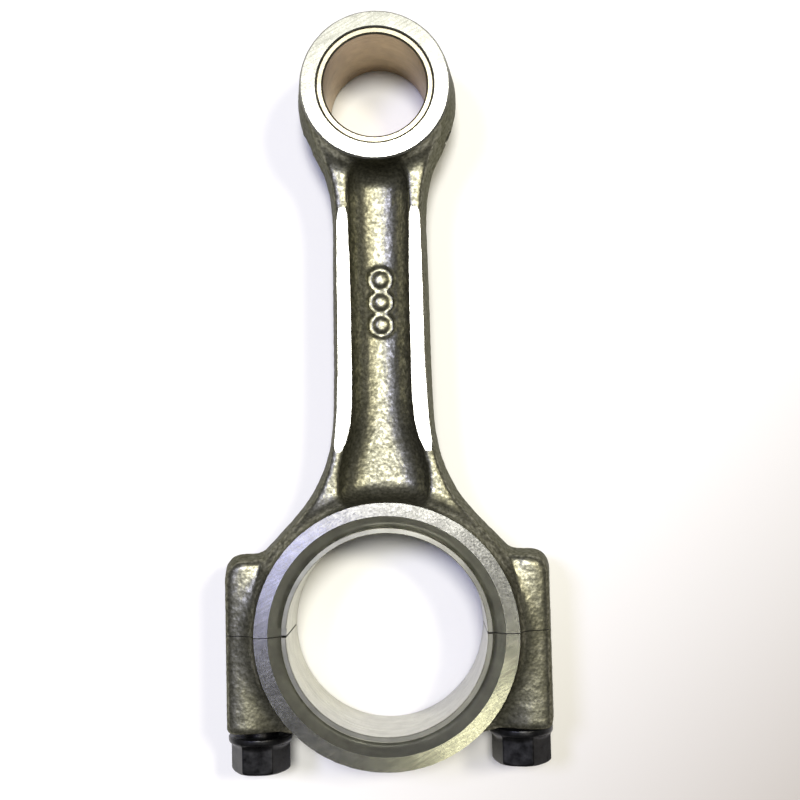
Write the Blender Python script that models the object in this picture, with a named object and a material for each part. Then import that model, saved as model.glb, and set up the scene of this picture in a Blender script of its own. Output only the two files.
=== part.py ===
"""Connecting rod of a small diesel engine, lying flat: rod, cap, bush, bearing shells and cap bolts.

Metres, +Z up.  The rod lies on its side faces, its length runs along Y with the small end at +Y, and
the big-end and small-end bores run along Z.  The design below is drawn about the big-end bore's
centre, and placed at the end so that the object stands on Z = 0 with its outline centred on X and Y.
"""
import math

import bmesh
import bpy
from mathutils import Matrix, Vector

MM = 0.001

# Rod as a whole
CENTRE_DISTANCE = 105.0 * MM
HALF_THICKNESS = 11.0 * MM
FIT_GAP = 0.3 * MM

# Big end
RING_FACE_RADIUS = 25.1 * MM
RING_MID_RADIUS = 26.5 * MM
HOUSING_RADIUS = 20.5 * MM
HOUSING_CHAMFER = 1.85 * MM
SHELL_THICKNESS = 1.2 * MM
SHELL_HALF_WIDTH = 9.5 * MM
SHELL_CHAMFER = 0.3 * MM

# Bearing tangs, on one side of the joint and towards the lower face
TANG_LENGTH = 3.0 * MM
TANG_WIDTH = 3.2 * MM
TANG_REACH = 0.9 * MM
TANG_FROM_SHELL_END = 1.2 * MM

# Small end
EYE_FACE_RADIUS = 14.5 * MM
EYE_MID_RADIUS = 16.0 * MM
EYE_CHAMFER = 0.5 * MM
BUSH_OUTER_RADIUS = 11.0 * MM
BUSH_INNER_RADIUS = 10.0 * MM
BUSH_CHAMFER = 0.35 * MM
BUSH_RECESS = 0.3 * MM
OIL_HOLE_RADIUS = 1.25 * MM
OIL_HOLE_DROP_DEGREES = 31.0

# Shank: one row for each station, as distance from the big-end centre, half width on the forging's
# mid plane, half width at the flange's crest, half width of the channel's mouth, half height of flange
SHANK_STATIONS_MM = (
    (10.0, 27.0, 25.0, 8.4, 5.6),
    (14.4, 25.2, 22.2, 8.4, 6.2),
    (17.0, 22.2, 19.2, 8.4, 6.9),
    (21.3, 18.1, 15.4, 8.4, 7.3),
    (26.5, 14.4, 12.1, 8.4, 7.4),
    (31.3, 12.0, 10.5, 8.3, 7.2),
    (35.3, 10.8, 9.6, 7.3, 7.0),
    (39.0, 10.3, 9.2, 6.3, 7.0),
    (43.5, 9.9, 8.7, 5.8, 7.0),
    (52.0, 9.7, 8.4, 5.7, 7.0),
    (66.0, 9.6, 8.4, 5.7, 7.0),
    (80.0, 9.35, 8.1, 5.9, 7.0),
    (85.0, 9.7, 8.4, 5.9, 7.5),
    (90.5, 10.9, 9.5, 5.5, 9.0),
    (97.0, 13.0, 11.0, 5.2, 9.5),
)
CHANNEL_FLOOR_HALF_WIDTH = 3.2 * MM
WEB_HALF_THICKNESS = 2.5 * MM

# Raised pips on the web, in place of forged characters
PIP_COUNT = 3
PIP_RADIUS = 1.5 * MM
PIP_HEIGHT = 0.45 * MM
PIP_PITCH = 4.5 * MM
PIP_MIDDLE_Y = 64.0 * MM

# Bolt bosses
BOSS_HALF_SPAN = 32.0 * MM
BOSS_TOP = 15.1 * MM
BOSS_BOTTOM = -18.7 * MM
BOSS_HALF_THICKNESS = 7.4 * MM
BOSS_DRAFT = 1.0 * MM
BOSS_CORNER = 3.0 * MM
BOSS_FOOT_CORNER = 0.9 * MM

# Cap bolts
BOLT_SPACING = 50.8 * MM
BOLT_RADIUS = 3.5 * MM
BOLT_SHANK_LENGTH = 31.5 * MM
BOLT_TIP_CHAMFER = 0.8 * MM
BOLT_HOLE_TOP = 13.3 * MM
FLANGE_RADIUS = 6.2 * MM
FLANGE_RIM = 1.0 * MM
FLANGE_HEIGHT = 2.2 * MM
HEX_ACROSS_FLATS = 10.0 * MM
HEX_HEIGHT = 4.8 * MM
HEX_CHAMFER = 0.8 * MM
LEFT_BOLT_BACKED_OUT = 0.9 * MM
RIGHT_BOLT_TURN_DEGREES = 12.0

# Smoothness of round shapes
BIG_SEGMENTS = 72
SMALL_SEGMENTS = 48
HOLE_SEGMENTS = 20
CORNER_STEPS = 4
WELD = 0.001 * MM

LENGTH_TOP = CENTRE_DISTANCE + EYE_MID_RADIUS
LENGTH_BOTTOM = BOSS_BOTTOM - FIT_GAP - LEFT_BOLT_BACKED_OUT - FLANGE_HEIGHT - HEX_HEIGHT
ORIGIN_SHIFT = Vector((0.0, -(LENGTH_TOP + LENGTH_BOTTOM) / 2, HALF_THICKNESS))
ALONG_Y = Matrix.Rotation(-math.pi / 2, 4, "X")


def clear_scene():
    for item in list(bpy.data.objects):
        bpy.data.objects.remove(item, do_unlink=True)


def make_material(name, colour, roughness, metallic):
    material = bpy.data.materials.new(name)
    material.use_nodes = True
    shader = material.node_tree.nodes["Principled BSDF"]
    shader.inputs["Base Color"].default_value = (*colour, 1.0)
    shader.inputs["Roughness"].default_value = roughness
    shader.inputs["Metallic"].default_value = metallic
    material.diffuse_color = (*colour, 1.0)
    return material


def object_from(mesh_builder, name, material=None, smooth=True):
    """Make an object from a bmesh, placed in the finished object's frame."""
    bmesh.ops.remove_doubles(mesh_builder, verts=mesh_builder.verts, dist=WELD)
    bmesh.ops.recalc_face_normals(mesh_builder, faces=mesh_builder.faces)
    mesh = bpy.data.meshes.new(name)
    mesh_builder.to_mesh(mesh)
    mesh_builder.free()
    if material is not None:
        mesh.materials.append(material)
    item = bpy.data.objects.new(name, mesh)
    item.location = ORIGIN_SHIFT
    bpy.context.scene.collection.objects.link(item)
    if smooth:
        mesh.shade_smooth()
        mesh.set_sharp_from_angle(angle=math.radians(30))
    return item


def turned(name, profile, steps, material=None, axis_point=(0.0, 0.0, 0.0),
           turn=Matrix.Identity(4), sweep=2 * math.pi, start=0.0):
    """Turn a closed profile of (radius, height) points about an axis along Z, then place it."""
    builder = bmesh.new()
    verts = [builder.verts.new((radius, 0.0, height)) for radius, height in profile]
    face = builder.faces.new(verts)
    whole = abs(sweep - 2 * math.pi) < 1e-6
    geometry = [face] + list(face.edges) + verts
    bmesh.ops.rotate(builder, verts=verts, cent=(0, 0, 0), matrix=Matrix.Rotation(start, 3, "Z"))
    result = bmesh.ops.spin(builder, geom=geometry, cent=(0, 0, 0), axis=(0, 0, 1), angle=sweep,
                            steps=steps, use_merge=False, use_duplicate=False)
    if whole:
        ends = [item for item in result["geom_last"] if isinstance(item, bmesh.types.BMFace)]
        bmesh.ops.delete(builder, geom=ends + [face], context="FACES_ONLY")
    place = Matrix.Translation(axis_point) @ turn
    bmesh.ops.transform(builder, matrix=place, verts=builder.verts)
    return object_from(builder, name, material)


def lofted(name, loops, material=None):
    """Join closed loops that hold the same number of points, and cap both ends."""
    builder = bmesh.new()
    rings = [[builder.verts.new(point) for point in loop] for loop in loops]
    for lower, upper in zip(rings, rings[1:]):
        count = len(lower)
        for index in range(count):
            following = (index + 1) % count
            builder.faces.new((lower[index], lower[following], upper[following], upper[index]))
    builder.faces.new(rings[0])
    builder.faces.new(rings[-1])
    return object_from(builder, name, material)


def block(name, low, high):
    builder = bmesh.new()
    bmesh.ops.create_cube(builder, size=1.0)
    size = Vector(high) - Vector(low)
    middle = (Vector(high) + Vector(low)) / 2
    bmesh.ops.scale(builder, vec=size, verts=builder.verts)
    bmesh.ops.translate(builder, vec=middle, verts=builder.verts)
    return object_from(builder, name, smooth=False)


def round_bar(name, radius, start, end, steps=HOLE_SEGMENTS):
    """A plain cylinder from one point to another."""
    start = Vector(start)
    end = Vector(end)
    builder = bmesh.new()
    bmesh.ops.create_cone(builder, cap_ends=True, segments=steps, radius1=radius, radius2=radius,
                          depth=(end - start).length)
    turn = Vector((0, 0, 1)).rotation_difference(end - start).to_matrix().to_4x4()
    bmesh.ops.transform(builder, matrix=Matrix.Translation((start + end) / 2) @ turn,
                        verts=builder.verts)
    return object_from(builder, name)


def combine(target, tool, operation):
    """Add a live Boolean and keep its tool as a hidden wire shape."""
    modifier = target.modifiers.new(tool.name, "BOOLEAN")
    modifier.operation = operation
    modifier.solver = "EXACT"
    modifier.object = tool
    tool.hide_render = True
    tool.display_type = "WIRE"


def join(target, *tools):
    for tool in tools:
        combine(target, tool, "UNION")


def cut(target, *tools):
    for tool in tools:
        combine(target, tool, "DIFFERENCE")


def rounded_outline(corners):
    """Points of a closed outline from (x, y, corner radius) rows, with round corners as arcs."""
    points = []
    count = len(corners)
    for index, (x, y, radius) in enumerate(corners):
        corner = Vector((x, y))
        before = (Vector(corners[index - 1][:2]) - corner).normalized()
        after = (Vector(corners[(index + 1) % count][:2]) - corner).normalized()
        half = before.angle(after) / 2
        reach = radius / math.tan(half)
        centre = corner + (before + after).normalized() * radius / math.sin(half)
        first = corner + before * reach - centre
        sweep = first.angle_signed(corner + after * reach - centre)
        for step in range(CORNER_STEPS + 1):
            turn = Matrix.Rotation(-sweep * step / CORNER_STEPS, 2)
            points.append(centre + turn @ first)
    return points


def forged_disc(name, face_radius, mid_radius, centre_y, steps):
    """A disc whose rim drafts away from the forging's mid plane."""
    profile = [(0.0, -HALF_THICKNESS), (face_radius, -HALF_THICKNESS), (mid_radius, 0.0),
               (face_radius, HALF_THICKNESS), (0.0, HALF_THICKNESS)]
    return turned(name, profile, steps, axis_point=(0.0, centre_y, 0.0))


def bolt_boss(name, side):
    """One side's boss for a cap bolt, over both halves of the big end."""
    def outline(inset):
        outer = BOSS_HALF_SPAN - inset
        inner = HOUSING_RADIUS / 2
        corners = [(inner, BOSS_BOTTOM, BOSS_FOOT_CORNER),
                   (outer, BOSS_BOTTOM, BOSS_FOOT_CORNER),
                   (outer, BOSS_TOP - inset, BOSS_CORNER),
                   (inner, BOSS_TOP - inset, BOSS_FOOT_CORNER)]
        return [(side * point.x, point.y) for point in rounded_outline(corners)]

    loops = []
    for height, inset in ((-BOSS_HALF_THICKNESS, BOSS_DRAFT), (0.0, 0.0),
                          (BOSS_HALF_THICKNESS, BOSS_DRAFT)):
        loops.append([(x, y, height) for x, y in outline(inset)])
    return lofted(name, loops)


def shank():
    """The H-section between the two ends, joined section by section along Y."""
    loops = []
    for row in SHANK_STATIONS_MM:
        along, mid, crest, mouth, height = (value * MM for value in row)
        floor = CHANNEL_FLOOR_HALF_WIDTH
        web = WEB_HALF_THICKNESS
        upper = [(crest, height), (mouth, height), (floor, web),
                 (-floor, web), (-mouth, height), (-crest, height)]
        lower = [(x, -z) for x, z in reversed(upper)]
        outline = [(mid, 0.0)] + upper + [(-mid, 0.0)] + lower
        loops.append([(x, along, z) for x, z in outline])
    return lofted("shank_blank", loops)


def housing_cutter(name):
    """The big-end bore with its chamfer at each face."""
    past = HALF_THICKNESS + HOUSING_CHAMFER
    wide = HOUSING_RADIUS + 2 * HOUSING_CHAMFER
    shoulder = HALF_THICKNESS - HOUSING_CHAMFER
    profile = [(0.0, -past), (wide, -past), (HOUSING_RADIUS, -shoulder),
               (HOUSING_RADIUS, shoulder), (wide, past), (0.0, past)]
    return turned(name, profile, BIG_SEGMENTS)


def eye_cutter():
    """The small-end bore with its chamfer at each face."""
    bore = BUSH_OUTER_RADIUS + FIT_GAP
    past = HALF_THICKNESS + EYE_CHAMFER
    wide = bore + 2 * EYE_CHAMFER
    shoulder = HALF_THICKNESS - EYE_CHAMFER
    profile = [(0.0, -past), (wide, -past), (bore, -shoulder),
               (bore, shoulder), (wide, past), (0.0, past)]
    return turned("eye_cutter", profile, SMALL_SEGMENTS, axis_point=(0.0, CENTRE_DISTANCE, 0.0))


def oil_hole_cutters(owner):
    """The two drilled holes that feed oil to the small-end bush."""
    drop = math.radians(OIL_HOLE_DROP_DEGREES)
    cutters = []
    for side in (-1, 1):
        direction = Vector((side * math.cos(drop), -math.sin(drop), 0.0))
        centre = Vector((0.0, CENTRE_DISTANCE, 0.0))
        start = centre + direction * (BUSH_INNER_RADIUS - 3 * MM)
        end = centre + direction * (EYE_MID_RADIUS + 3 * MM)
        cutters.append(round_bar(f"{owner}_oil_hole_{side}", OIL_HOLE_RADIUS, start, end, 12))
    return cutters


def bolt_hole_cutters(owner):
    below = BOSS_BOTTOM - 5 * MM
    cutters = []
    for side in (-1, 1):
        x = side * BOLT_SPACING / 2
        cutters.append(round_bar(f"{owner}_bolt_hole_{side}", BOLT_RADIUS + FIT_GAP,
                                 (x, below, 0.0), (x, BOLT_HOLE_TOP, 0.0)))
    return cutters


def tang_block(name, half, clearance):
    """The space that a bearing tang takes; half is 1 in the rod and -1 in the cap."""
    outer = -(HOUSING_RADIUS + TANG_REACH + clearance)
    inner = -(HOUSING_RADIUS - FIT_GAP - SHELL_THICKNESS / 2)
    near = half * (FIT_GAP / 2 - clearance)
    far = half * (TANG_LENGTH + clearance)
    foot = TANG_FROM_SHELL_END - SHELL_HALF_WIDTH
    low = (outer, min(near, far), foot - clearance)
    high = (inner, max(near, far), foot + TANG_WIDTH + clearance)
    return block(name, low, high)


def build_rod(material):
    body = shank()
    body.name = "rod_body"
    body.data.name = "rod_body"
    body.data.materials.append(material)
    join(body,
         forged_disc("eye_blank", EYE_FACE_RADIUS, EYE_MID_RADIUS, CENTRE_DISTANCE, SMALL_SEGMENTS),
         forged_disc("rod_ring_blank", RING_FACE_RADIUS, RING_MID_RADIUS, 0.0, BIG_SEGMENTS),
         bolt_boss("rod_boss_left", -1),
         bolt_boss("rod_boss_right", 1))
    for index in range(PIP_COUNT):
        y = PIP_MIDDLE_Y + (index - (PIP_COUNT - 1) / 2) * PIP_PITCH
        join(body, round_bar(f"pip_{index}", PIP_RADIUS, (0.0, y, 0.0),
                             (0.0, y, WEB_HALF_THICKNESS + PIP_HEIGHT)))
    reach = 2 * BOSS_HALF_SPAN
    cut(body,
        block("below_joint", (-reach, -reach, -reach), (reach, FIT_GAP / 2, reach)),
        housing_cutter("rod_housing"),
        eye_cutter(),
        tang_block("rod_tang_notch", 1, FIT_GAP))
    cut(body, *bolt_hole_cutters("rod"), *oil_hole_cutters("rod"))
    return body


def build_cap(material):
    cap = forged_disc("bearing_cap", RING_FACE_RADIUS, RING_MID_RADIUS, 0.0, BIG_SEGMENTS)
    cap.data.materials.append(material)
    join(cap, bolt_boss("cap_boss_left", -1), bolt_boss("cap_boss_right", 1))
    reach = 2 * BOSS_HALF_SPAN
    cut(cap,
        block("above_joint", (-reach, -FIT_GAP / 2, -reach), (reach, reach, reach)),
        housing_cutter("cap_housing"),
        tang_block("cap_tang_notch", -1, FIT_GAP))
    cut(cap, *bolt_hole_cutters("cap"))
    return cap


def build_bush(material):
    half = HALF_THICKNESS - BUSH_RECESS
    profile = [(BUSH_INNER_RADIUS, half - BUSH_CHAMFER),
               (BUSH_INNER_RADIUS + BUSH_CHAMFER, half),
               (BUSH_OUTER_RADIUS, half),
               (BUSH_OUTER_RADIUS, -half),
               (BUSH_INNER_RADIUS + BUSH_CHAMFER, -half),
               (BUSH_INNER_RADIUS, -half + BUSH_CHAMFER)]
    bush = turned("small_end_bush", profile, SMALL_SEGMENTS, material,
                  axis_point=(0.0, CENTRE_DISTANCE, 0.0))
    cut(bush, *oil_hole_cutters("bush"))
    return bush


def build_shell(name, half, material):
    """A half shell with its locating tang; half is 1 in the rod and -1 in the cap."""
    outer = HOUSING_RADIUS - FIT_GAP
    inner = outer - SHELL_THICKNESS
    width = SHELL_HALF_WIDTH
    profile = [(inner, width - SHELL_CHAMFER), (inner + SHELL_CHAMFER, width), (outer, width),
               (outer, -width), (inner + SHELL_CHAMFER, -width), (inner, -width + SHELL_CHAMFER)]
    edge = math.asin(FIT_GAP / 2 / inner)
    start = edge if half > 0 else math.pi + edge
    shell = turned(name, profile, BIG_SEGMENTS // 2, material, sweep=math.pi - 2 * edge, start=start)
    join(shell, tang_block(f"{name}_tang", half, 0.0))
    return shell


def build_bolt(name, side, backed_out, hex_turn, material):
    """A hex flange bolt with its shank pointing to +Y."""
    seat = BOSS_BOTTOM - FIT_GAP - backed_out
    profile = [(0.0, BOLT_SHANK_LENGTH), (BOLT_RADIUS - BOLT_TIP_CHAMFER, BOLT_SHANK_LENGTH),
               (BOLT_RADIUS, BOLT_SHANK_LENGTH - BOLT_TIP_CHAMFER), (BOLT_RADIUS, 0.0),
               (FLANGE_RADIUS, 0.0), (FLANGE_RADIUS, -FLANGE_RIM),
               (HEX_ACROSS_FLATS / 2, -FLANGE_HEIGHT), (0.0, -FLANGE_HEIGHT)]
    place = (side * BOLT_SPACING / 2, seat, 0.0)
    bolt = turned(name, profile, 2 * HOLE_SEGMENTS, material, axis_point=place, turn=ALONG_Y)
    corner = HEX_ACROSS_FLATS / math.sqrt(3)
    loops = []
    for depth, inset in ((-FLANGE_HEIGHT / 2, 0.0), (-FLANGE_HEIGHT - HEX_HEIGHT + HEX_CHAMFER, 0.0),
                         (-FLANGE_HEIGHT - HEX_HEIGHT, HEX_CHAMFER)):
        angles = [math.radians(hex_turn + 60 * step) for step in range(6)]
        loops.append([(place[0] + (corner - inset) * math.cos(angle), seat + depth,
                       (corner - inset) * math.sin(angle)) for angle in angles])
    join(bolt, lofted(f"{name}_hex", loops))
    return bolt


def main():
    clear_scene()
    forging = make_material("forged_steel", (0.33, 0.32, 0.29), 0.55, 0.85)
    bronze = make_material("bronze", (0.55, 0.38, 0.22), 0.35, 0.95)
    lining = make_material("bearing_lining", (0.62, 0.62, 0.60), 0.30, 0.95)
    oxide = make_material("black_oxide", (0.035, 0.035, 0.045), 0.45, 0.70)
    build_rod(forging)
    build_cap(forging)
    build_bush(bronze)
    build_shell("upper_bearing_shell", 1, lining)
    build_shell("lower_bearing_shell", -1, lining)
    build_bolt("cap_bolt_left", -1, LEFT_BOLT_BACKED_OUT, 0.0, oxide)
    build_bolt("cap_bolt_right", 1, 0.0, RIGHT_BOLT_TURN_DEGREES, oxide)


main()
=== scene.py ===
"""Looks of the connecting rod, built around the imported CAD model.

Shapes are worked out in millimetres about the big-end bore's centre on the forging's mid plane, and
stored in metres in the frame's own axes. The forging is one smooth solid described by distances: its
skin is meshed from that description, then machined with Booleans, as the real one is.
"""
import math

import bmesh
import bpy
import numpy as np
from mathutils import Matrix, Vector, noise


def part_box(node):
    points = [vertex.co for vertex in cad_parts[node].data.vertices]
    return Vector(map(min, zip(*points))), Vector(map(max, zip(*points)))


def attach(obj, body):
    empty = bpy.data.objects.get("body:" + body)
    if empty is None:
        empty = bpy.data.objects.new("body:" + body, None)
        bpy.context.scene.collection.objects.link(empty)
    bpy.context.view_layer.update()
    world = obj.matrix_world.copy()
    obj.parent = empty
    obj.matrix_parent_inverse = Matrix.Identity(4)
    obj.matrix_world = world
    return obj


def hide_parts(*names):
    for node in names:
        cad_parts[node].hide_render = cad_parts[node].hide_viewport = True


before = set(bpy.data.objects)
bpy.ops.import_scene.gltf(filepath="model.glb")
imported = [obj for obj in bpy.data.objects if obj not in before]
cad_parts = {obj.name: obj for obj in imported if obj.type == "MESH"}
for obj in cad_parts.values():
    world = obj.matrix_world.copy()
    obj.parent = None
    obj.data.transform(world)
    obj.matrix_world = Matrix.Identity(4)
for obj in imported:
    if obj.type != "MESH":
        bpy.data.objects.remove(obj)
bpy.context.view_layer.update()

MM = 0.001

# ---------------------------------------------------------------- sizes taken from the frame
rod_low, rod_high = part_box("rod_body")
bush_low, bush_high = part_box("small_end_bush")
shell_low, shell_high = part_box("upper_bearing_shell")
cap_low, cap_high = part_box("bearing_cap")

JOINT_GAP = (rod_low.y - cap_high.y) / MM
BIG_CENTRE = Vector((0.0, (rod_low.y + cap_high.y) / 2, (rod_low.z + rod_high.z) / 2))
EYE_Y = ((bush_low.y + bush_high.y) / 2 - BIG_CENTRE.y) / MM
HALF_THICKNESS = (rod_high.z - rod_low.z) / 2 / MM
HALF_SPAN = rod_high.x / MM
EYE_MID_RADIUS = (rod_high.y - BIG_CENTRE.y) / MM - EYE_Y
BUSH_RADIUS = bush_high.x / MM
BUSH_HALF_WIDTH = (bush_high.z - bush_low.z) / 2 / MM
SHELL_RADIUS = shell_high.x / MM
SHELL_HALF_WIDTH = (shell_high.z - shell_low.z) / 2 / MM

# ---------------------------------------------------------------- sizes of the real parts, in mm
# Fits: room round a bolt or the bush, and what is left once a bearing is seated
FIT_GAP = 0.3
SEATED_GAP = 0.05

# Room for the skin's swells inside the CAD box, across the bosses and round the eye
SPAN_ROOM = 0.15
EYE_ROOM = 0.1

# Big end: the ring's radius at its faces and on the mid plane, and how far its centre sits below
RING_FACE_RADIUS = 24.95
RING_MID_RADIUS = 26.2
RING_DROP = -0.15
RING_EDGE_FILLET = 4.2
HOUSING_RADIUS = SHELL_RADIUS - 0.15
HOUSING_CHAMFER = 2.3
CRANKPIN_BORE_RADIUS = 19.0
SHELL_LEAD = 0.12
SHELL_BACK_LEAD = 0.1
TANG_FOOT = 1.2
TANG_WIDTH = 3.2
TANG_LENGTH = 3.0

# Small end
EYE_FACE_RADIUS = 14.5
EYE_FILLET = 3.6
EYE_CHAMFER = 0.25
EYE_RIM_CHAMFER = 0.3
BUSH_THICKNESS = 1.0
BUSH_LEAD = 0.35
BUSH_BACK_LEAD = 0.15
OIL_HOLE_RADIUS = 1.25
OIL_HOLE_DROP = math.radians(31.0)
OIL_DISH_RADIUS = 2.1
OIL_DISH_DEPTH = 0.9
OIL_DRILL_START = 7.0

# Shank: heights above the mid plane, and where along it the crests are ground
CREST_HEIGHT = 7.0
CREST_EDGE = 1.0
CREST_GROUND = (34.5, 82.0)
CREST_RUN_OUT = 7.5
WEB_HALF_THICKNESS = 2.5
CHANNEL_LEAN = 0.25
CHANNEL_FILLET = 4.6
CHANNEL_EDGE = 0.5
SHANK_SPAN = (8.0, 100.0)

# Bolt bosses, each with a crowned pad that falls away on both sides of its middle
BOSS_HEIGHT = 7.4
BOSS_TOP = 15.1
BOSS_FOOT = -18.7
BOSS_LEAN = 0.14
BOSS_CORNER = 4.2
BOSS_FILLET = 1.6
BOSS_FOOT_EDGE = 1.2
PAD_EDGE = 1.4
PAD_MIDDLE_X = 27.8
PAD_INNER_FALL = 0.06
PAD_OUTER_FALL = 0.05
SPOT_FACE_DEPTH = 0.12

# Bolts: M7 hex flange bolts with a plain fitted length under the head
BOLT_X = 25.4
BOLT_RADIUS = 3.5
BOLT_HOLE_TOP = 13.3
PLAIN_LENGTH = 14.0
FLANGE_RADIUS = 6.2
FLANGE_HEIGHT = 2.2
HEX_ACROSS_FLATS = 10.0
HEX_HEIGHT = 4.8
THREAD_PITCH = 1.0
THREAD_DEPTH = 0.55 * THREAD_PITCH
TIP_TAPER = 1.2

# Half widths of the shank against distance from the big-end centre: on the mid plane, at the
# flange's crest, at the channel's mouth, and the crest's height
SHANK_Y = (8.0, 14.4, 17.0, 21.3, 26.5, 31.3, 35.3, 39.0, 43.5, 52.0, 66.0, 80.0, 85.0, 90.5, 97.0)
SHANK_MID = (27.5, 25.2, 22.2, 18.1, 14.4, 12.0, 10.8, 10.2, 9.9, 9.7, 9.6, 9.35, 9.7, 10.9, 13.0)
SHANK_CREST = (25.5, 23.0, 20.2, 16.4, 12.7, 10.7, 9.8, 9.3, 8.95, 8.6, 8.5, 8.3, 8.6, 9.8, 11.5)
CHANNEL_MOUTH = (8.8, 8.8, 8.8, 8.8, 8.8, 8.5, 7.5, 6.3, 5.8, 5.7, 5.7, 5.9, 5.9, 5.6, 5.2)
CREST_RISE = (0.0, 0.0, 0.1, 0.2, 0.3, 0.3, 0.3, 0.3, 0.3, 0.3, 0.3, 0.3, 0.3, 0.3, 0.3)

# Plain pips on the web, in recesses that run into each other
PIP_COUNT = 3
PIP_MIDDLE_Y = 64.0
PIP_PITCH = 4.5
PIP_RADIUS = 1.55
PIP_RISE = 0.1
PIP_EDGE = 0.6
PIP_FILLET = 0.3
RECESS_RADIUS = 2.6
RECESS_DEPTH = 0.45
RECESS_FILLET = 0.5
RECESS_LIP = 0.4

# How finely the skins are meshed and turned, and how far the fields and tools reach past them
VOXEL = 0.4
BOLT_VOXEL = 0.17
SMOOTHING_CELLS = 15
SKIN_RELIEF = 0.05
SKIN_GRAIN = 1.3
BIG_STEPS = 160
SMALL_STEPS = 96
FACING_STOCK = 1.0
FIELD_MARGIN = 0.6
PAST_THE_CAP = -40.0


def placed(x, y, z):
    """A point given in millimetres about the big-end centre, in the frame."""
    return BIG_CENTRE + Vector((x, y, z)) * MM


# ---------------------------------------------------------------- distances
def blend_join(a, b, radius):
    """Union of two distance fields with a fillet."""
    close = np.maximum(radius - np.abs(a - b), 0.0) / radius
    return np.minimum(a, b) - close * close * radius / 4


def blend_keep(a, b, radius):
    """Intersection of two distance fields with a rounded edge."""
    return -blend_join(-a, -b, radius)


def blend_cut(a, b, radius):
    """The first field with the second taken away, with a rounded edge."""
    return blend_keep(a, -b, radius)


def draft_disc(x, y, height, centre_y, face_radius, mid_radius):
    """A disc whose rim leans in from the mid plane, with the trimmed flash standing out there."""
    radius = np.hypot(x, y - centre_y)
    lean = (mid_radius - face_radius) / HALF_THICKNESS
    return (radius - mid_radius + lean * height) / math.hypot(1.0, lean)


def shank_field(x, y, height):
    """The H-section shank with its flared foot."""
    along = y[0, :, 0]
    mid = np.interp(along, SHANK_Y, SHANK_MID)
    crest = np.interp(along, SHANK_Y, SHANK_CREST)
    mouth = np.interp(along, SHANK_Y, CHANNEL_MOUTH)
    rise = np.interp(along, SHANK_Y, CREST_RISE)
    kernel = np.hanning(SMOOTHING_CELLS)
    kernel /= kernel.sum()
    mid, crest, mouth, rise = (
        np.convolve(np.pad(row, SMOOTHING_CELLS // 2, mode="edge"), kernel, mode="valid")
        for row in (mid, crest, mouth, rise))
    slope = np.gradient(mid, along)
    scale = 1.0 / np.sqrt(1.0 + slope * slope)
    mid, crest, mouth, rise, scale = (row[None, :, None] for row in (mid, crest, mouth, rise, scale))

    share = np.clip(height / CREST_HEIGHT, 0.0, 1.4)
    side = (np.abs(x) - (mid + (crest - mid) * share)) * scale
    top = height - (CREST_HEIGHT + rise)
    outer = blend_keep(side, top, CREST_EDGE)

    wall = np.abs(x) - mouth - CHANNEL_LEAN * (height - CREST_HEIGHT)
    wall = wall / math.hypot(1.0, CHANNEL_LEAN)
    floor = WEB_HALF_THICKNESS - height
    channel = blend_keep(wall, floor, CHANNEL_FILLET)
    return blend_cut(outer, channel, CHANNEL_EDGE)


def web_marks(x, y, z, whole):
    """Three plain raised pips in a shallow scalloped recess on one side of the web."""
    centres = [PIP_MIDDLE_Y + (index - (PIP_COUNT - 1) / 2) * PIP_PITCH for index in range(PIP_COUNT)]
    radius = np.minimum.reduce([np.hypot(x, y - centre) for centre in centres])
    floor = WEB_HALF_THICKNESS - RECESS_DEPTH - z
    dent = blend_keep(radius - RECESS_RADIUS, floor, RECESS_FILLET)
    raised = blend_keep(radius - PIP_RADIUS, z - WEB_HALF_THICKNESS - PIP_RISE, PIP_EDGE)
    return blend_join(blend_cut(whole, dent, RECESS_LIP), np.maximum(raised, -z), PIP_FILLET)


def boss_field(x, y, height):
    """Both bolt bosses, each a drafted block with a crowned face."""
    outward = np.abs(x) - (HALF_SPAN - SPAN_ROOM) + BOSS_LEAN * height
    upward = y - BOSS_TOP + BOSS_LEAN * height
    downward = BOSS_FOOT - y
    across = np.abs(x) - PAD_MIDDLE_X
    fall = np.where(across < 0.0, PAD_INNER_FALL, PAD_OUTER_FALL)
    crown = height - BOSS_HEIGHT + fall * across * across
    side = blend_keep(outward, upward, BOSS_CORNER)
    return blend_keep(blend_keep(side, crown, PAD_EDGE), downward, BOSS_FOOT_EDGE)


def forging_field(x, y, z):
    """Distance to the whole forging before it is split and machined."""
    height = np.abs(z)
    ring = draft_disc(x, y, height, RING_DROP, RING_FACE_RADIUS, RING_MID_RADIUS)
    eye = draft_disc(x, y, height, EYE_Y, EYE_FACE_RADIUS, EYE_MID_RADIUS - EYE_ROOM)
    shank = shank_field(x, y, height)
    start, end = SHANK_SPAN
    reach = blend_keep(shank, np.maximum(start - y, y - end), 0.5)
    body = blend_join(eye, reach, EYE_FILLET)
    bosses = boss_field(x, y, height)
    whole = np.minimum(blend_join(ring, body, RING_EDGE_FILLET),
                       blend_join(ring, bosses, RING_EDGE_FILLET))
    whole = np.minimum(whole, blend_join(body, bosses, BOSS_FILLET))
    whole = web_marks(x, y, z, whole)
    return np.maximum(whole, height - HALF_THICKNESS - FACING_STOCK)


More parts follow.
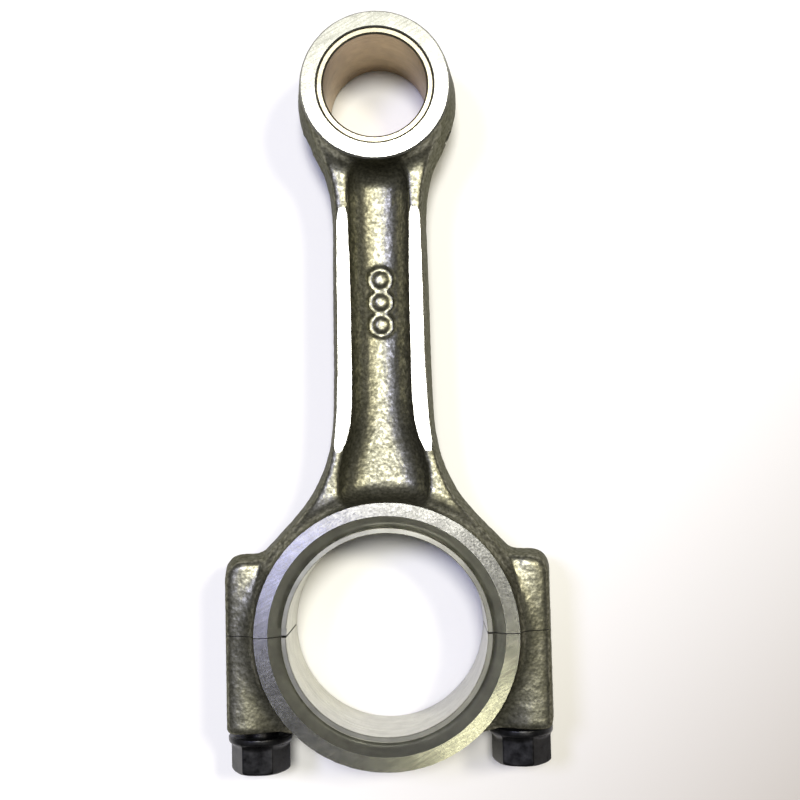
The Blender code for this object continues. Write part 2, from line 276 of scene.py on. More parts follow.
# ---------------------------------------------------------------- meshing
def surface_mesh(field, low, high, step):
    """Mesh the zero surface of a field on a grid with one point in each cell that it crosses."""
    axes = [np.arange(start, end + step, step) for start, end in zip(low, high)]
    x, y, z = axes[0][:, None, None], axes[1][None, :, None], axes[2][None, None, :]
    value = field(x, y, z)
    shape = tuple(len(axis) for axis in axes)
    value = np.broadcast_to(value, shape)
    inside = value < 0

    total = np.zeros(tuple(n - 1 for n in shape) + (3,))
    count = np.zeros(tuple(n - 1 for n in shape))
    edges = []
    for axis in range(3):
        first = [slice(None)] * 3
        second = [slice(None)] * 3
        first[axis] = slice(0, -1)
        second[axis] = slice(1, None)
        a, b = value[tuple(first)], value[tuple(second)]
        crossing = inside[tuple(first)] != inside[tuple(second)]
        share = np.where(crossing, a / np.where(crossing, a - b, 1.0), 0.0)
        edges.append((crossing, inside[tuple(first)]))
        others = [other for other in range(3) if other != axis]
        for i in (0, 1):
            for j in (0, 1):
                pick = [slice(None)] * 3
                for other, offset in zip(others, (i, j)):
                    size = shape[other] - 1
                    pick[other] = slice(offset, offset + size)
                part = crossing[tuple(pick)]
                offsets = np.zeros(part.shape + (3,))
                offsets[..., axis] = share[tuple(pick)]
                for other, offset in zip(others, (i, j)):
                    offsets[..., other] = offset
                total += offsets * part[..., None]
                count += part

    used = count > 0
    index = np.full(count.shape, -1)
    index[used] = np.arange(used.sum())
    cell = np.argwhere(used)
    points = (cell + total[used] / count[used][:, None]) * step + np.array(low)

    faces = []
    for axis, (crossing, starts_inside) in enumerate(edges):
        others = [other for other in range(3) if other != axis]
        inner = [slice(None)] * 3
        for other in others:
            inner[other] = slice(1, -1)
        where = np.argwhere(crossing[tuple(inner)])
        for other in others:
            where[:, other] += 1
        flip = starts_inside[tuple(where.T)]
        if axis == 1:
            flip = ~flip
        corners = []
        for i, j in ((0, 0), (1, 0), (1, 1), (0, 1)):
            at = where.copy()
            at[:, others[0]] -= i
            at[:, others[1]] -= j
            corners.append(index[tuple(at.T)])
        quad = np.stack(corners, axis=1)
        quad[flip] = quad[flip][:, ::-1]
        faces.append(quad)
    return points, np.concatenate(faces)


def add_object(name, data):
    """Put a mesh, a lamp or a camera into the scene."""
    item = bpy.data.objects.new(name, data)
    bpy.context.scene.collection.objects.link(item)
    return item


def object_from_builder(name, builder, material):
    """Turn a finished bmesh into an object with one material."""
    mesh = bpy.data.meshes.new(name)
    builder.to_mesh(mesh)
    builder.free()
    mesh.materials.append(material)
    return add_object(name, mesh)


def object_from_arrays(name, points, faces, material):
    """An object from millimetre points about the big-end centre and rows of four corners."""
    mesh = bpy.data.meshes.new(name)
    at = np.asarray(points) * MM + np.array(BIG_CENTRE)
    mesh.vertices.add(len(at))
    mesh.vertices.foreach_set("co", at.astype(np.float32).ravel())
    corners = len(faces[0])
    mesh.loops.add(len(faces) * corners)
    mesh.loops.foreach_set("vertex_index", np.asarray(faces, dtype=np.int32).ravel())
    mesh.polygons.add(len(faces))
    mesh.polygons.foreach_set("loop_start", np.arange(0, len(faces) * corners, corners))
    mesh.update(calc_edges=True)
    mesh.validate()
    mesh.materials.append(material)
    return add_object(name, mesh)


def roughen(item, depth, scale):
    """Give a forged skin its shallow dents and swells."""
    mesh = item.data
    count = len(mesh.vertices)
    at = np.empty(count * 3, dtype=np.float32)
    normals = np.empty(count * 3, dtype=np.float32)
    mesh.vertices.foreach_get("co", at)
    mesh.vertex_normals.foreach_get("vector", normals)
    at = at.reshape(count, 3)
    samples = at / (scale * MM)
    swell = np.array([noise.fractal(sample, 0.6, 2.2, 3) for sample in samples.tolist()])
    at += normals.reshape(count, 3) * (swell[:, None] * depth * MM)
    mesh.vertices.foreach_set("co", at.astype(np.float32).ravel())
    mesh.update()


def turned(name, profile, steps, material, centre=(0.0, 0.0, 0.0), turn=Matrix.Identity(3),
           start=0.0, sweep=2 * math.pi):
    """Turn a closed profile of (radius, height) millimetre points about an axis along Z."""
    builder = bmesh.new()
    whole = abs(sweep - 2 * math.pi) < 1e-6
    count = steps if whole else steps + 1
    rings = []
    for step in range(count):
        angle = start + sweep * step / steps
        ring = []
        for radius, height in profile:
            point = turn @ Vector((radius * math.cos(angle), radius * math.sin(angle), height))
            ring.append(builder.verts.new(placed(*(point + Vector(centre)))))
        rings.append(ring)
    size = len(profile)
    for step in range(steps):
        near, far = rings[step], rings[(step + 1) % count]
        for index in range(size):
            following = (index + 1) % size
            builder.faces.new((near[index], near[following], far[following], far[index]))
    if not whole:
        builder.faces.new(rings[0])
        builder.faces.new(rings[-1])
    bmesh.ops.remove_doubles(builder, verts=builder.verts, dist=0.0005 * MM)
    bmesh.ops.recalc_face_normals(builder, faces=builder.faces)
    return object_from_builder(name, builder, material)


def block(name, low, high, material):
    """A plain box between two millimetre corners, used as a cutting tool."""
    builder = bmesh.new()
    bmesh.ops.create_cube(builder, size=1.0)
    size = Vector(high) - Vector(low)
    middle = (Vector(high) + Vector(low)) / 2
    bmesh.ops.scale(builder, vec=size * MM, verts=builder.verts)
    bmesh.ops.translate(builder, vec=placed(*middle), verts=builder.verts)
    return object_from_builder(name, builder, material)


def apply_boolean(item, tools, operation):
    """Apply one Boolean with several tools and remove them; new faces keep the tools' finish."""
    kit = bpy.data.collections.new("tools")
    for tool in tools:
        kit.objects.link(tool)
    modifier = item.modifiers.new("tools", "BOOLEAN")
    modifier.operation = operation
    modifier.solver = "EXACT"
    modifier.material_mode = "TRANSFER"
    modifier.operand_type = "COLLECTION"
    modifier.collection = kit
    graph = bpy.context.evaluated_depsgraph_get()
    mesh = bpy.data.meshes.new_from_object(item.evaluated_get(graph), depsgraph=graph)
    item.modifiers.clear()
    item.data = mesh
    for tool in tools:
        bpy.data.objects.remove(tool, do_unlink=True)
    bpy.data.collections.remove(kit)


def machine(item, tools):
    """Cut a piece with several tools in one go."""
    apply_boolean(tools[0], tools[1:], "UNION")
    apply_boolean(item, tools[:1], "DIFFERENCE")


def trim(item, point, normal, material):
    """Cut a piece off flat, on the side that the normal points to, and close it with a face."""
    mesh = item.data
    if material.name not in mesh.materials:
        mesh.materials.append(material)
    builder = bmesh.new()
    builder.from_mesh(mesh)
    geometry = list(builder.verts) + list(builder.edges) + list(builder.faces)
    result = bmesh.ops.bisect_plane(builder, geom=geometry, plane_co=placed(*point), plane_no=normal,
                                    dist=0.0001 * MM, clear_outer=True)
    edges = [part for part in result["geom_cut"] if isinstance(part, bmesh.types.BMEdge)]
    bmesh.ops.edgeloop_fill(builder, edges=edges, mat_nr=mesh.materials.find(material.name))
    bmesh.ops.recalc_face_normals(builder, faces=builder.faces)
    builder.to_mesh(mesh)
    builder.free()


def shade(item, angle=32.0):
    """Smooth shading that breaks at edges and where one finish meets another."""
    mesh = item.data
    mesh.shade_smooth()
    mesh.set_sharp_from_angle(angle=math.radians(angle))
    if len(mesh.materials) > 1:
        builder = bmesh.new()
        builder.from_mesh(mesh)
        for edge in builder.edges:
            if len(edge.link_faces) == 2:
                first, second = edge.link_faces
                if first.material_index != second.material_index:
                    edge.smooth = False
        builder.to_mesh(mesh)
        builder.free()


# ---------------------------------------------------------------- materials
def shader_material(name, roughness, metallic, colour=(0.5, 0.5, 0.5)):
    """A new material, its nodes, its shader and the coordinates of the piece itself."""
    material = bpy.data.materials.new(name)
    material.use_nodes = True
    tree = material.node_tree
    shader = tree.nodes["Principled BSDF"]
    shader.inputs["Base Color"].default_value = (*colour, 1.0)
    shader.inputs["Roughness"].default_value = roughness
    shader.inputs["Metallic"].default_value = metallic
    place = tree.nodes.new("ShaderNodeTexCoord")
    return material, tree, shader, place.outputs["Object"]


def stretched(tree, place, scale, turn=(0.0, 0.0, 0.0)):
    """Coordinates turned first and then scaled along each axis, for streaks."""
    mapping = tree.nodes.new("ShaderNodeMapping")
    mapping.vector_type = "TEXTURE"
    mapping.inputs["Scale"].default_value = [1.0 / value for value in scale]
    mapping.inputs["Rotation"].default_value = turn
    tree.links.new(place, mapping.inputs["Vector"])
    return mapping.outputs["Vector"]


def noise_node(tree, vector, scale, detail=3.0, roughness=0.55):
    node = tree.nodes.new("ShaderNodeTexNoise")
    node.inputs["Scale"].default_value = scale
    node.inputs["Detail"].default_value = detail
    node.inputs["Roughness"].default_value = roughness
    tree.links.new(vector, node.inputs["Vector"])
    return node.outputs["Fac"]


def cells_node(tree, vector, scale, feature="F1"):
    node = tree.nodes.new("ShaderNodeTexVoronoi")
    node.feature = feature
    node.inputs["Scale"].default_value = scale
    tree.links.new(vector, node.inputs["Vector"])
    return node.outputs["Distance"]


def ramp(tree, value, stops):
    node = tree.nodes.new("ShaderNodeValToRGB")
    elements = node.color_ramp.elements
    while len(elements) < len(stops):
        elements.new(0.5)
    for element, (position, colour) in zip(elements, stops):
        element.position = position
        element.color = (*colour, 1.0)
    tree.links.new(value, node.inputs["Fac"])
    return node.outputs["Color"]


def grey_ramp(tree, value, stops):
    return ramp(tree, value, [(position, (level,) * 3) for position, level in stops])


def mix_colour(tree, first, second, factor, blend="MIX"):
    node = tree.nodes.new("ShaderNodeMix")
    node.data_type = "RGBA"
    node.blend_type = blend
    tree.links.new(first, node.inputs["A"])
    tree.links.new(second, node.inputs["B"])
    if isinstance(factor, float):
        node.inputs["Factor"].default_value = factor
    else:
        tree.links.new(factor, node.inputs["Factor"])
    return node.outputs["Result"]


def sum_heights(tree, rows):
    """Add several height signals, each with its own weight."""
    total = None
    for value, weight in rows:
        scaled = tree.nodes.new("ShaderNodeMath")
        scaled.operation = "MULTIPLY"
        tree.links.new(value, scaled.inputs[0])
        scaled.inputs[1].default_value = weight
        if total is None:
            total = scaled.outputs[0]
            continue
        added = tree.nodes.new("ShaderNodeMath")
        added.operation = "ADD"
        tree.links.new(total, added.inputs[0])
        tree.links.new(scaled.outputs[0], added.inputs[1])
        total = added.outputs[0]
    return total


def add_bump(tree, shader, height, strength, distance_mm):
    bump = tree.nodes.new("ShaderNodeBump")
    bump.inputs["Strength"].default_value = strength
    bump.inputs["Distance"].default_value = distance_mm * MM
    tree.links.new(height, bump.inputs["Height"])
    tree.links.new(bump.outputs["Normal"], shader.inputs["Normal"])


def forged_material():
    """Shot-blasted forging: a grainy, pitted olive-grey skin with darker patches."""
    material, tree, shader, place = shader_material("forged_skin", 0.5, 0.9)
    shader.inputs["Specular Tint"].default_value = (0.30, 0.30, 0.27, 1.0)
    grain = noise_node(tree, place, 1500.0, 2.5, 0.5)
    pits = cells_node(tree, place, 1500.0)
    patches = noise_node(tree, place, 160.0, 3.0, 0.6)
    base = ramp(tree, grain, [(0.30, (0.108, 0.106, 0.084)), (0.50, (0.195, 0.191, 0.154)),
                              (0.70, (0.325, 0.317, 0.264))])
    tint = ramp(tree, patches, [(0.30, (0.78, 0.78, 0.70)), (0.70, (1.0, 1.0, 0.96))])
    tree.links.new(mix_colour(tree, base, tint, 1.0, "MULTIPLY"), shader.inputs["Base Color"])
    gloss = grey_ramp(tree, grain, [(0.25, 0.45), (0.75, 0.32)])
    tree.links.new(gloss, shader.inputs["Roughness"])
    height = sum_heights(tree, [(grain, 0.45), (pits, 0.7), (patches, 0.5)])
    add_bump(tree, shader, height, 0.33, 0.12)
    return material


def ground_material(name, colour, roughness, across=(60.0, 2600.0, 60.0), turn=0.5):
    """A ground flat: fine parallel scratches with slightly uneven brightness."""
    material, tree, shader, place = shader_material(name, roughness, 1.0, colour)
    lines = noise_node(tree, stretched(tree, place, across, (0.0, 0.0, turn)), 1.0, 3.0, 0.6)
    fine = noise_node(tree, place, 2600.0, 3.0, 0.6)
    cloud = noise_node(tree, place, 420.0, 4.0, 0.6)
    dark = tuple(0.80 * value for value in colour)
    pale = tuple(min(1.0, 1.12 * value) for value in colour)
    base = ramp(tree, lines, [(0.30, dark), (0.55, colour), (0.75, pale)])
    tint = grey_ramp(tree, cloud, [(0.32, 0.76), (0.62, 1.0)])
    tree.links.new(mix_colour(tree, base, tint, 1.0, "MULTIPLY"), shader.inputs["Base Color"])
    gloss = grey_ramp(tree, fine, [(0.30, roughness + 0.05), (0.70, roughness - 0.03)])
    tree.links.new(gloss, shader.inputs["Roughness"])
    height = sum_heights(tree, [(lines, 0.85), (fine, 0.10)])
    add_bump(tree, shader, height, 0.35, 0.012)
    return material


def bored_material(name, colour, roughness):
    """A turned or bored surface: fine rings around the bore's axis."""
    material, tree, shader, place = shader_material(name, roughness, 1.0, colour)
    rings = noise_node(tree, stretched(tree, place, (40.0, 40.0, 7000.0)), 1.0, 2.0, 0.5)
    cloud = noise_node(tree, place, 300.0, 3.0, 0.6)
    dark = tuple(0.75 * value for value in colour)
    base = ramp(tree, cloud, [(0.30, dark), (0.70, colour)])
    tree.links.new(base, shader.inputs["Base Color"])
    gloss = grey_ramp(tree, rings, [(0.30, roughness + 0.08), (0.70, roughness - 0.05)])
    tree.links.new(gloss, shader.inputs["Roughness"])
    add_bump(tree, shader, rings, 0.25, 0.02)
    return material


def oxide_material():
    """Black oxide over machined steel, with slightly paler and duller clouds."""
    material, tree, shader, place = shader_material("black_oxide_skin", 0.38, 0.85)
    cloud = noise_node(tree, place, 500.0, 4.0, 0.6)
    fine = noise_node(tree, place, 3500.0, 3.0, 0.6)
    base = ramp(tree, cloud, [(0.30, (0.010, 0.010, 0.011)), (0.72, (0.038, 0.038, 0.040))])
    tree.links.new(base, shader.inputs["Base Color"])
    gloss = grey_ramp(tree, cloud, [(0.30, 0.26), (0.70, 0.44)])
    tree.links.new(gloss, shader.inputs["Roughness"])
    add_bump(tree, shader, fine, 0.3, 0.03)
    return material


FORGED = forged_material()
GROUND_FACE = ground_material("ground_face", (0.53, 0.53, 0.50), 0.17)
GROUND_CREST = ground_material("ground_crest", (0.37, 0.37, 0.35), 0.32, (70.0, 70.0, 70.0), 0.0)
BORED_STEEL = bored_material("bored_steel", (0.42, 0.42, 0.37), 0.34)
JOINT_FACE = ground_material("joint_face", (0.55, 0.55, 0.53), 0.32, (3000.0, 60.0, 60.0), 0.0)
BRONZE = bored_material("bronze_bore", (0.46, 0.33, 0.18), 0.30)
BRONZE_END = ground_material("bronze_end", (0.37, 0.34, 0.25), 0.30)
SHELL_BACK = bored_material("shell_steel", (0.24, 0.24, 0.22), 0.28)
LINING = bored_material("bearing_lining_skin", (0.52, 0.515, 0.45), 0.30)
OXIDE = oxide_material()


# ---------------------------------------------------------------- forged pieces
def bore_tool(name, radius, chamfer, centre_y, steps, material):
    """A bore's cutter with a chamfer at each face."""
    past = HALF_THICKNESS + chamfer
    wide = radius + 2 * chamfer
    shoulder = HALF_THICKNESS - chamfer
    profile = [(0.0, -past), (wide, -past), (radius, -shoulder), (radius, shoulder), (wide, past),
               (0.0, past)]
    return turned(name, profile, steps, material, (0.0, centre_y, 0.0))


def eye_rim_tools():
    """Cutters that break the sharp rim of both small-end faces."""
    inner = EYE_FACE_RADIUS - 2 * EYE_RIM_CHAMFER
    outer = EYE_FACE_RADIUS + EYE_RIM_CHAMFER
    far = EYE_FACE_RADIUS + 1.5
    top = HALF_THICKNESS + EYE_RIM_CHAMFER
    foot = HALF_THICKNESS - 2 * EYE_RIM_CHAMFER
    return [turned(f"eye_rim_{side}",
                   [(inner, side * top), (outer, side * foot), (far, side * foot), (far, side * top)],
                   SMALL_STEPS, BORED_STEEL, (0.0, EYE_Y, 0.0)) for side in (-1, 1)]


def crest_tools():
    """Long cutters that grind the flange crests flat and rise out of them at each end."""
    tools = []
    start, end = CREST_GROUND
    low, high = start - CREST_RUN_OUT, end + CREST_RUN_OUT
    outline = [(low, 3.2), (start, 0.25), (start + 2.5, 0.0), (end - 2.5, 0.0), (end, 0.25),
               (high, 3.2), (high, 6.0), (low, 6.0)]
    size = len(outline)
    for side in (-1, 1):
        builder = bmesh.new()
        verts = [builder.verts.new(placed(x, y, side * (CREST_HEIGHT + lift)))
                 for x in (-14.0, 14.0) for y, lift in outline]
        builder.faces.new(verts[:size])
        builder.faces.new(verts[size:])
        for index in range(size):
            following = (index + 1) % size
            builder.faces.new((verts[index], verts[following], verts[size + following],
                               verts[size + index]))
        bmesh.ops.recalc_face_normals(builder, faces=builder.faces)
        tools.append(object_from_builder(f"crest_tool_{side}", builder, GROUND_CREST))
    return tools


def drill(name, radius, start, end, steps, material):
    """A round cutter between two points on its axis."""
    start = Vector(start)
    end = Vector(end)
    turn = Vector((0, 0, 1)).rotation_difference(end - start).to_matrix()
    length = (end - start).length
    profile = [(0.0, 0.0), (radius, 0.0), (radius, length), (0.0, length)]
    return turned(name, profile, steps, material, tuple(start), turn)


def bolt_hole_tools():
    """Drills for the blind bolt holes, and cutters that face the bolts' seats."""
    tools = []
    for side in (-1, 1):
        x = side * BOLT_X
        start = (x, PAST_THE_CAP, 0.0)
        tools.append(drill(f"bolt_hole_{side}", BOLT_RADIUS + FIT_GAP, start,
                           (x, BOLT_HOLE_TOP, 0.0), 32, BORED_STEEL))
        tools.append(drill(f"spot_face_{side}", FLANGE_RADIUS + FIT_GAP, start,
                           (x, BOSS_FOOT + SPOT_FACE_DEPTH, 0.0), 48, GROUND_CREST))
    return tools


def oil_hole_tools():
    """Drills for the eye's two slanting oil holes and their dished mouths."""
    tools = []
    for side in (-1, 1):
        direction = Vector((side * math.cos(OIL_HOLE_DROP), -math.sin(OIL_HOLE_DROP), 0.0))
        centre = Vector((0.0, EYE_Y, 0.0))
        outside = centre + direction * (EYE_MID_RADIUS + 3.0)
        tools.append(drill(f"oil_hole_{side}", OIL_HOLE_RADIUS, centre + direction * OIL_DRILL_START,
                           outside, 24, BORED_STEEL))
        tools.append(drill(f"oil_dish_{side}", OIL_DISH_RADIUS,
                           centre + direction * (EYE_MID_RADIUS - OIL_DISH_DEPTH), outside, 32,
                           BORED_STEEL))
    return tools


def tang_tool(half):
    """Cutter for a bearing tang's notch in the upper (1) or lower (-1) half of the housing."""
    foot = TANG_FOOT - 0.3 - SHELL_HALF_WIDTH
    low_y, high_y = sorted((half * -0.2, half * (TANG_LENGTH + 0.3)))
    return block(f"tang_notch_{half}", (-(HOUSING_RADIUS + 1.2), low_y, foot),
                 (-19.5, high_y, foot + TANG_WIDTH + 0.6), BORED_STEEL)


def forged_pieces():
    """The rod and its cap, cut from one forging, faced on both sides, split and machined."""
    past_faces = HALF_THICKNESS + (FACING_STOCK + FIELD_MARGIN)
    low = (-HALF_SPAN - 1.0, BOSS_FOOT - 9.5, -past_faces)
    high = (HALF_SPAN + 1.0, EYE_Y + EYE_MID_RADIUS + 1.0, past_faces)
    points, faces = surface_mesh(forging_field, low, high, VOXEL)
    rod = object_from_arrays("rod_forging", points, faces, FORGED)
    roughen(rod, SKIN_RELIEF, SKIN_GRAIN)
    for side in (-1, 1):
        trim(rod, (0.0, 0.0, side * HALF_THICKNESS), (0, 0, side), GROUND_FACE)
    cap = rod.copy()
    cap.data = rod.data.copy()
    cap.name = "cap_forging"
    bpy.context.scene.collection.objects.link(cap)
    edge = JOINT_GAP / 4  # the clamped joint is tighter than the solids' gap
    trim(rod, (0.0, edge, 0.0), (0, -1, 0), JOINT_FACE)
    trim(cap, (0.0, -edge, 0.0), (0, 1, 0), JOINT_FACE)

    housing = (HOUSING_RADIUS, HOUSING_CHAMFER, 0.0, BIG_STEPS, BORED_STEEL)
    eye = (BUSH_RADIUS + FIT_GAP, EYE_CHAMFER, EYE_Y, SMALL_STEPS, BORED_STEEL)
    rod_tools = [bore_tool("housing", *housing), bore_tool("eye_bore", *eye), tang_tool(1)]
    rod_tools += eye_rim_tools() + crest_tools() + bolt_hole_tools() + oil_hole_tools()
    machine(rod, rod_tools)
    machine(cap, [bore_tool("cap_housing", *housing), tang_tool(-1)] + bolt_hole_tools())
    for item in (rod, cap):
        shade(item)
    return rod, cap


# ---------------------------------------------------------------- bearings
def lined_profile(inner, outer, half, lead, back):
    """Section of a bearing wall: a lead at each end of its bore, a smaller one on its back."""
    return [(inner, half - lead), (inner + lead, half), (outer - back, half), (outer, half - back),
            (outer, back - half), (outer - back, -half), (inner + lead, -half), (inner, lead - half)]


def bush_piece():
    """The bronze bush pressed into the eye, drilled with the eye's oil holes."""
    inner = BUSH_RADIUS - BUSH_THICKNESS
    outer = BUSH_RADIUS + FIT_GAP - SEATED_GAP
    profile = lined_profile(inner, outer, BUSH_HALF_WIDTH, BUSH_LEAD, BUSH_BACK_LEAD)
    bush = turned("piston_pin_bush", profile, SMALL_STEPS, BRONZE, (0.0, EYE_Y, 0.0))
    bush.data.materials.append(BRONZE_END)
    mark_by_normal(bush, 0.6, 1)
    apply_boolean(bush, oil_hole_tools(), "DIFFERENCE")
    shade(bush)
    return bush


def mark_by_normal(item, least, index):
    """Give the faces that look up or down another of the piece's materials."""
    for face in item.data.polygons:
        if abs(face.normal.z) > least:
            face.material_index = index


def shell_piece(name, half):
    """A bearing half shell with its tang, in the upper (1) or lower (-1) half of the housing."""
    inner = CRANKPIN_BORE_RADIUS
    outer = HOUSING_RADIUS - SEATED_GAP
    width = SHELL_HALF_WIDTH
    profile = lined_profile(inner, outer, width, SHELL_LEAD, SHELL_BACK_LEAD)
    edge = math.asin(JOINT_GAP / 2 / inner)
    start = edge if half > 0 else math.pi + edge
    shell = turned(name, profile, BIG_STEPS // 2, LINING, start=start, sweep=math.pi - 2 * edge)
    shell.data.materials.append(SHELL_BACK)
    for face in shell.data.polygons:
        middle = face.center - BIG_CENTRE
        radius = math.hypot(middle.x, middle.y) / MM
        if radius > inner + SHELL_LEAD:
            face.material_index = 1
    foot = TANG_FOOT - width
    low_y, high_y = sorted((half * edge * inner, half * TANG_LENGTH))
    tang = block(f"{name}_tang", (-(HOUSING_RADIUS + 1.0), low_y, foot),
                 (-(inner + outer) / 2, high_y, foot + TANG_WIDTH), SHELL_BACK)
    apply_boolean(shell, [tang], "UNION")
    if half > 0:
        relief = block(f"{name}_relief", (-outer, edge * inner, width - 1.0),
                       (-inner + 0.3, 1.5, width + 0.5), SHELL_BACK)
        apply_boolean(shell, [relief], "DIFFERENCE")
    shade(shell)
    return shell


# ---------------------------------------------------------------- bolts
def hex_distance(x, z, turn):
    """Distance outside a hexagon's sides about the bolt's axis."""
    angle = np.arctan2(z, x) - turn
    radius = np.hypot(x, z)
    sector = np.mod(angle, math.pi / 3) - math.pi / 6
    return radius * np.cos(sector) - HEX_ACROSS_FLATS / 2


def bolt_head_field(turn):
    """Head of a hex flange bolt; y runs from the seat at 0 to the head's end, downwards."""
    chamfer_radius, chamfer_slope = 5.15, 1.4
    rim_height, skirt_slope = 1.15, 0.62
    dish_radius, dish_depth = 10.0, 0.4
    corner = 0.2
    chamfer_edge = 0.25
    rim_edge = 0.35
    flange_fillet = 0.5
    dish_edge = 0.3

    def field(x, y, z):
        radius = np.hypot(x, z)
        depth = -y
        past_end = depth - FLANGE_HEIGHT - HEX_HEIGHT
        hexagon = hex_distance(x, z, turn)
        cone = (radius - chamfer_radius + past_end * chamfer_slope) / math.hypot(1.0, chamfer_slope)
        head = blend_keep(blend_keep(hexagon, past_end, chamfer_edge), cone, chamfer_edge)
        head = blend_keep(head, -depth, corner)
        rim = radius - FLANGE_RADIUS
        skirt = (depth - rim_height + rim * skirt_slope) / math.hypot(1.0, skirt_slope)
        flange = blend_keep(blend_keep(rim, skirt, rim_edge), -depth, corner)
        body = blend_join(head, flange, flange_fillet)
        dish = np.hypot(radius, past_end - (dish_radius - dish_depth)) - dish_radius
        return blend_cut(body, dish, dish_edge)
    return field


def threaded_shank(name, x, seat, length, material):
    """Shank with a plain fitted length under the head and a rolled thread towards its tip."""
    around = 48
    angles = 2 * math.pi * np.arange(around) / around
    rings = [(along, np.full(around, BOLT_RADIUS)) for along in (-0.4, PLAIN_LENGTH - 1.6)]
    for along in np.arange(PLAIN_LENGTH - 1.0, length - 0.9, THREAD_PITCH / 10):
        phase = np.mod(along / THREAD_PITCH - angles / (2 * math.pi), 1.0)
        groove = 1.0 - np.abs(2.0 * phase - 1.0)
        fade = min(1.0, max(0.0, (along - PLAIN_LENGTH) / 1.0))
        radius = BOLT_RADIUS - THREAD_DEPTH * np.clip(groove * 1.25 - 0.15, 0.0, 1.0) * fade
        radius = np.minimum(radius, BOLT_RADIUS - max(0.0, along - (length - TIP_TAPER)) * 0.9)
        rings.append((along, radius))
    rings.append((length, np.full(around, BOLT_RADIUS - TIP_TAPER)))
    points = []
    for along, radius in rings:
        for angle, distance in zip(angles, radius):
            points.append((x + distance * math.cos(angle), seat + along, distance * math.sin(angle)))
    start_centre = len(points)
    points.append((x, seat + rings[0][0], 0.0))
    points.append((x, seat + length, 0.0))
    faces = []
    for ring in range(len(rings) - 1):
        for index in range(around):
            following = (index + 1) % around
            faces.append((ring * around + index, (ring + 1) * around + index,
                          (ring + 1) * around + following, ring * around + following))
    last = (len(rings) - 1) * around
    triangles = []
    for index in range(around):
        following = (index + 1) % around
        triangles.append((start_centre, index, following))
        triangles.append((start_centre + 1, last + following, last + index))
    builder = bmesh.new()
    verts = [builder.verts.new(placed(*point)) for point in points]
    for face in faces + triangles:
        builder.faces.new([verts[index] for index in face])
    bmesh.ops.recalc_face_normals(builder, faces=builder.faces)
    return object_from_builder(name, builder, material)


def bolt_piece(name, node, turn):
    """One hex flange bolt where its CAD node is, its head turned about its axis."""
    low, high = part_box(node)
    x = (low.x + high.x) / 2 / MM
    end = (low.y - BIG_CENTRE.y) / MM
    seat = end + HEX_HEIGHT + FLANGE_HEIGHT
    length = (high.y - BIG_CENTRE.y) / MM - seat
    reach = FLANGE_RADIUS + 0.6
    points, faces = surface_mesh(bolt_head_field(turn), (-reach, -7.8, -reach),
                                 (reach, 0.8, reach), BOLT_VOXEL)
    points = points + np.array((x, seat, 0.0))
    bolt = object_from_arrays(name, points, faces, OXIDE)
    apply_boolean(bolt, [threaded_shank(f"{name}_shank", x, seat, length, OXIDE)], "UNION")
    shade(bolt, 40.0)
    return bolt


# ---------------------------------------------------------------- the object
rod_piece, cap_piece = forged_pieces()
pieces = [
    (rod_piece, "rod", "rod_body", "forged_steel"),
    (cap_piece, "cap", "bearing_cap", "forged_steel"),
    (bush_piece(), "rod", "small_end_bush", "bronze"),
    (shell_piece("rod_shell", 1), "rod", "upper_bearing_shell", "bearing_lining"),
    (shell_piece("cap_shell", -1), "cap", "lower_bearing_shell", "bearing_lining"),
    (bolt_piece("flange_bolt_left", "cap_bolt_left", 0.0), "bolt_left", "cap_bolt_left",
     "black_oxide"),
    (bolt_piece("flange_bolt_right", "cap_bolt_right", math.radians(12.0)), "bolt_right",
     "cap_bolt_right", "black_oxide"),
]
for piece, body, node, slot in pieces:
    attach(piece, body)
    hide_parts(node)


# ---------------------------------------------------------------- floor, light and camera
def floor_piece():
    """A pale sheet, with painted shade that greys it towards one corner."""
    material, tree, shader, place = shader_material("floor_paper", 0.8, 0.0)
    cloud = noise_node(tree, place, 6.0, 2.0, 0.5)
    base = ramp(tree, cloud, [(0.2, (0.88, 0.88, 0.88)), (0.8, (0.92, 0.92, 0.92))])
    split = tree.nodes.new("ShaderNodeSeparateXYZ")
    tree.links.new(place, split.inputs["Vector"])
    shaded_corner_axis = sum_heights(tree, [(split.outputs["X"], 1.0), (split.outputs["Y"], -1.0)])
    # painted shade: the floor's colour darkens towards one corner, standing in for the light falling
    # off there
    painted_corner_shade = ramp(tree, shaded_corner_axis, [(0.05, (1.0, 1.0, 1.0)), (0.17, (0.56, 0.53, 0.50))])
    tree.links.new(mix_colour(tree, base, painted_corner_shade, 1.0, "MULTIPLY"), shader.inputs["Base Color"])
    mesh = bpy.data.meshes.new("floor")
    reach = 3.0
    corners = [(-reach, -reach, 0), (reach, -reach, 0), (reach, reach, 0), (-reach, reach, 0)]
    mesh.from_pydata(corners, [], [(0, 1, 2, 3)])
    mesh.materials.append(material)
    add_object("floor", mesh)


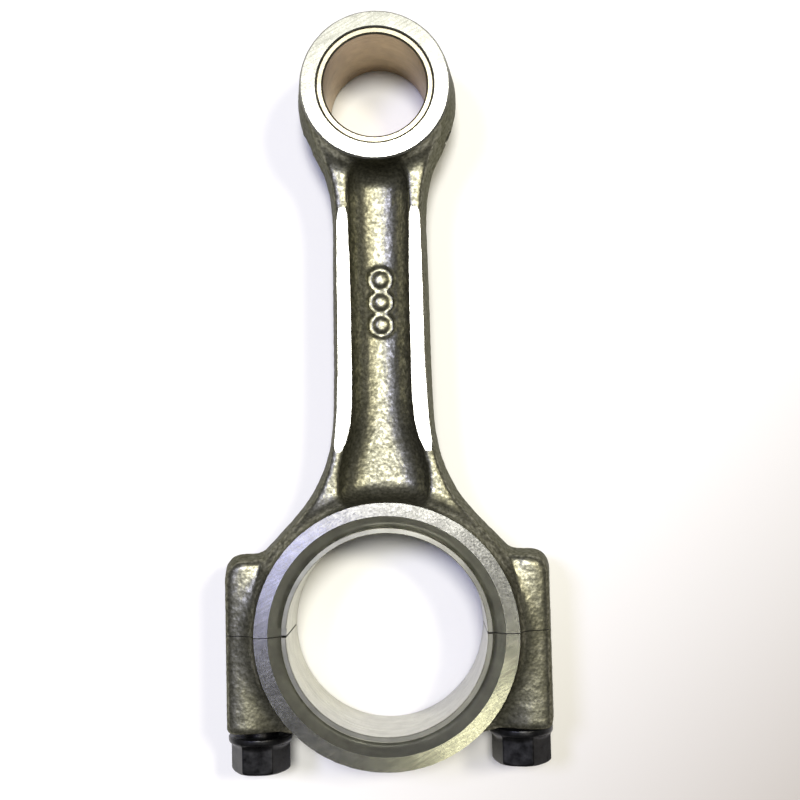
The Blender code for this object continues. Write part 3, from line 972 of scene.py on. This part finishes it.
def area_light(name, position, size, power, colour, aim=(0.0, 0.0, 0.0)):
    """A round or oval lamp that looks at a point."""
    data = bpy.data.lights.new(name, "AREA")
    data.shape = "ELLIPSE"
    data.size, data.size_y = size
    data.energy = power
    data.color = colour
    light = add_object(name, data)
    light.location = position
    light.rotation_mode = "QUATERNION"
    light.rotation_quaternion = (Vector(aim) - Vector(position)).to_track_quat("-Z", "Y")


def lights():
    """Cool and warm lamps at either hand, with faint panels above that the ground faces mirror."""
    area_light("main", (0.02, 0.20, 1.20), (0.30, 0.30), 10.8, (1.0, 0.98, 0.92))
    area_light("cool_left", (-0.48, 0.24, 1.15), (0.30, 0.30), 4.9, (0.58, 0.60, 1.0))
    area_light("warm_right", (0.56, 0.28, 1.15), (0.24, 0.24), 6.0, (1.0, 0.94, 0.74))
    panels = (("far_panel", (-0.04, 0.47), 0.26, 0.27, (1.0, 1.0, 0.84)),
              ("cool_panel", (-0.16, -0.12), 0.13, 0.12, (0.55, 0.56, 1.0)),
              ("warm_panel", (0.075, -0.335), 0.12, 0.17, (1.0, 0.97, 0.62)))
    for name, (x, y), size, power, colour in panels:
        area_light(name, (x, y, 1.20), (size, size), power, colour, (x, y, 0.0))
    world = bpy.data.worlds.new("studio")
    world.use_nodes = True
    background = world.node_tree.nodes["Background"]
    background.inputs["Color"].default_value = (1.0, 0.99, 0.97, 1.0)
    background.inputs["Strength"].default_value = 0.10
    bpy.context.scene.world = world
    bpy.context.scene.view_settings.view_transform = "Standard"


def camera():
    """A close camera above the shank that leans a little towards the small end."""
    data = bpy.data.cameras.new("camera")
    data.sensor_width = 36.0
    data.lens = 52.4
    data.clip_start = 0.01
    item = add_object("camera", data)
    lean = Matrix.Rotation(math.radians(3.34), 4, "X")
    tilt = Matrix.Rotation(math.radians(1.14), 4, "Y")
    roll = Matrix.Rotation(math.radians(-1.36), 4, "Z")
    place = Matrix.Translation(placed(7.9, 31.3, 230.6))
    item.matrix_world = place @ lean @ tilt @ roll
    bpy.context.scene.camera = item


floor_piece()
lights()
camera()
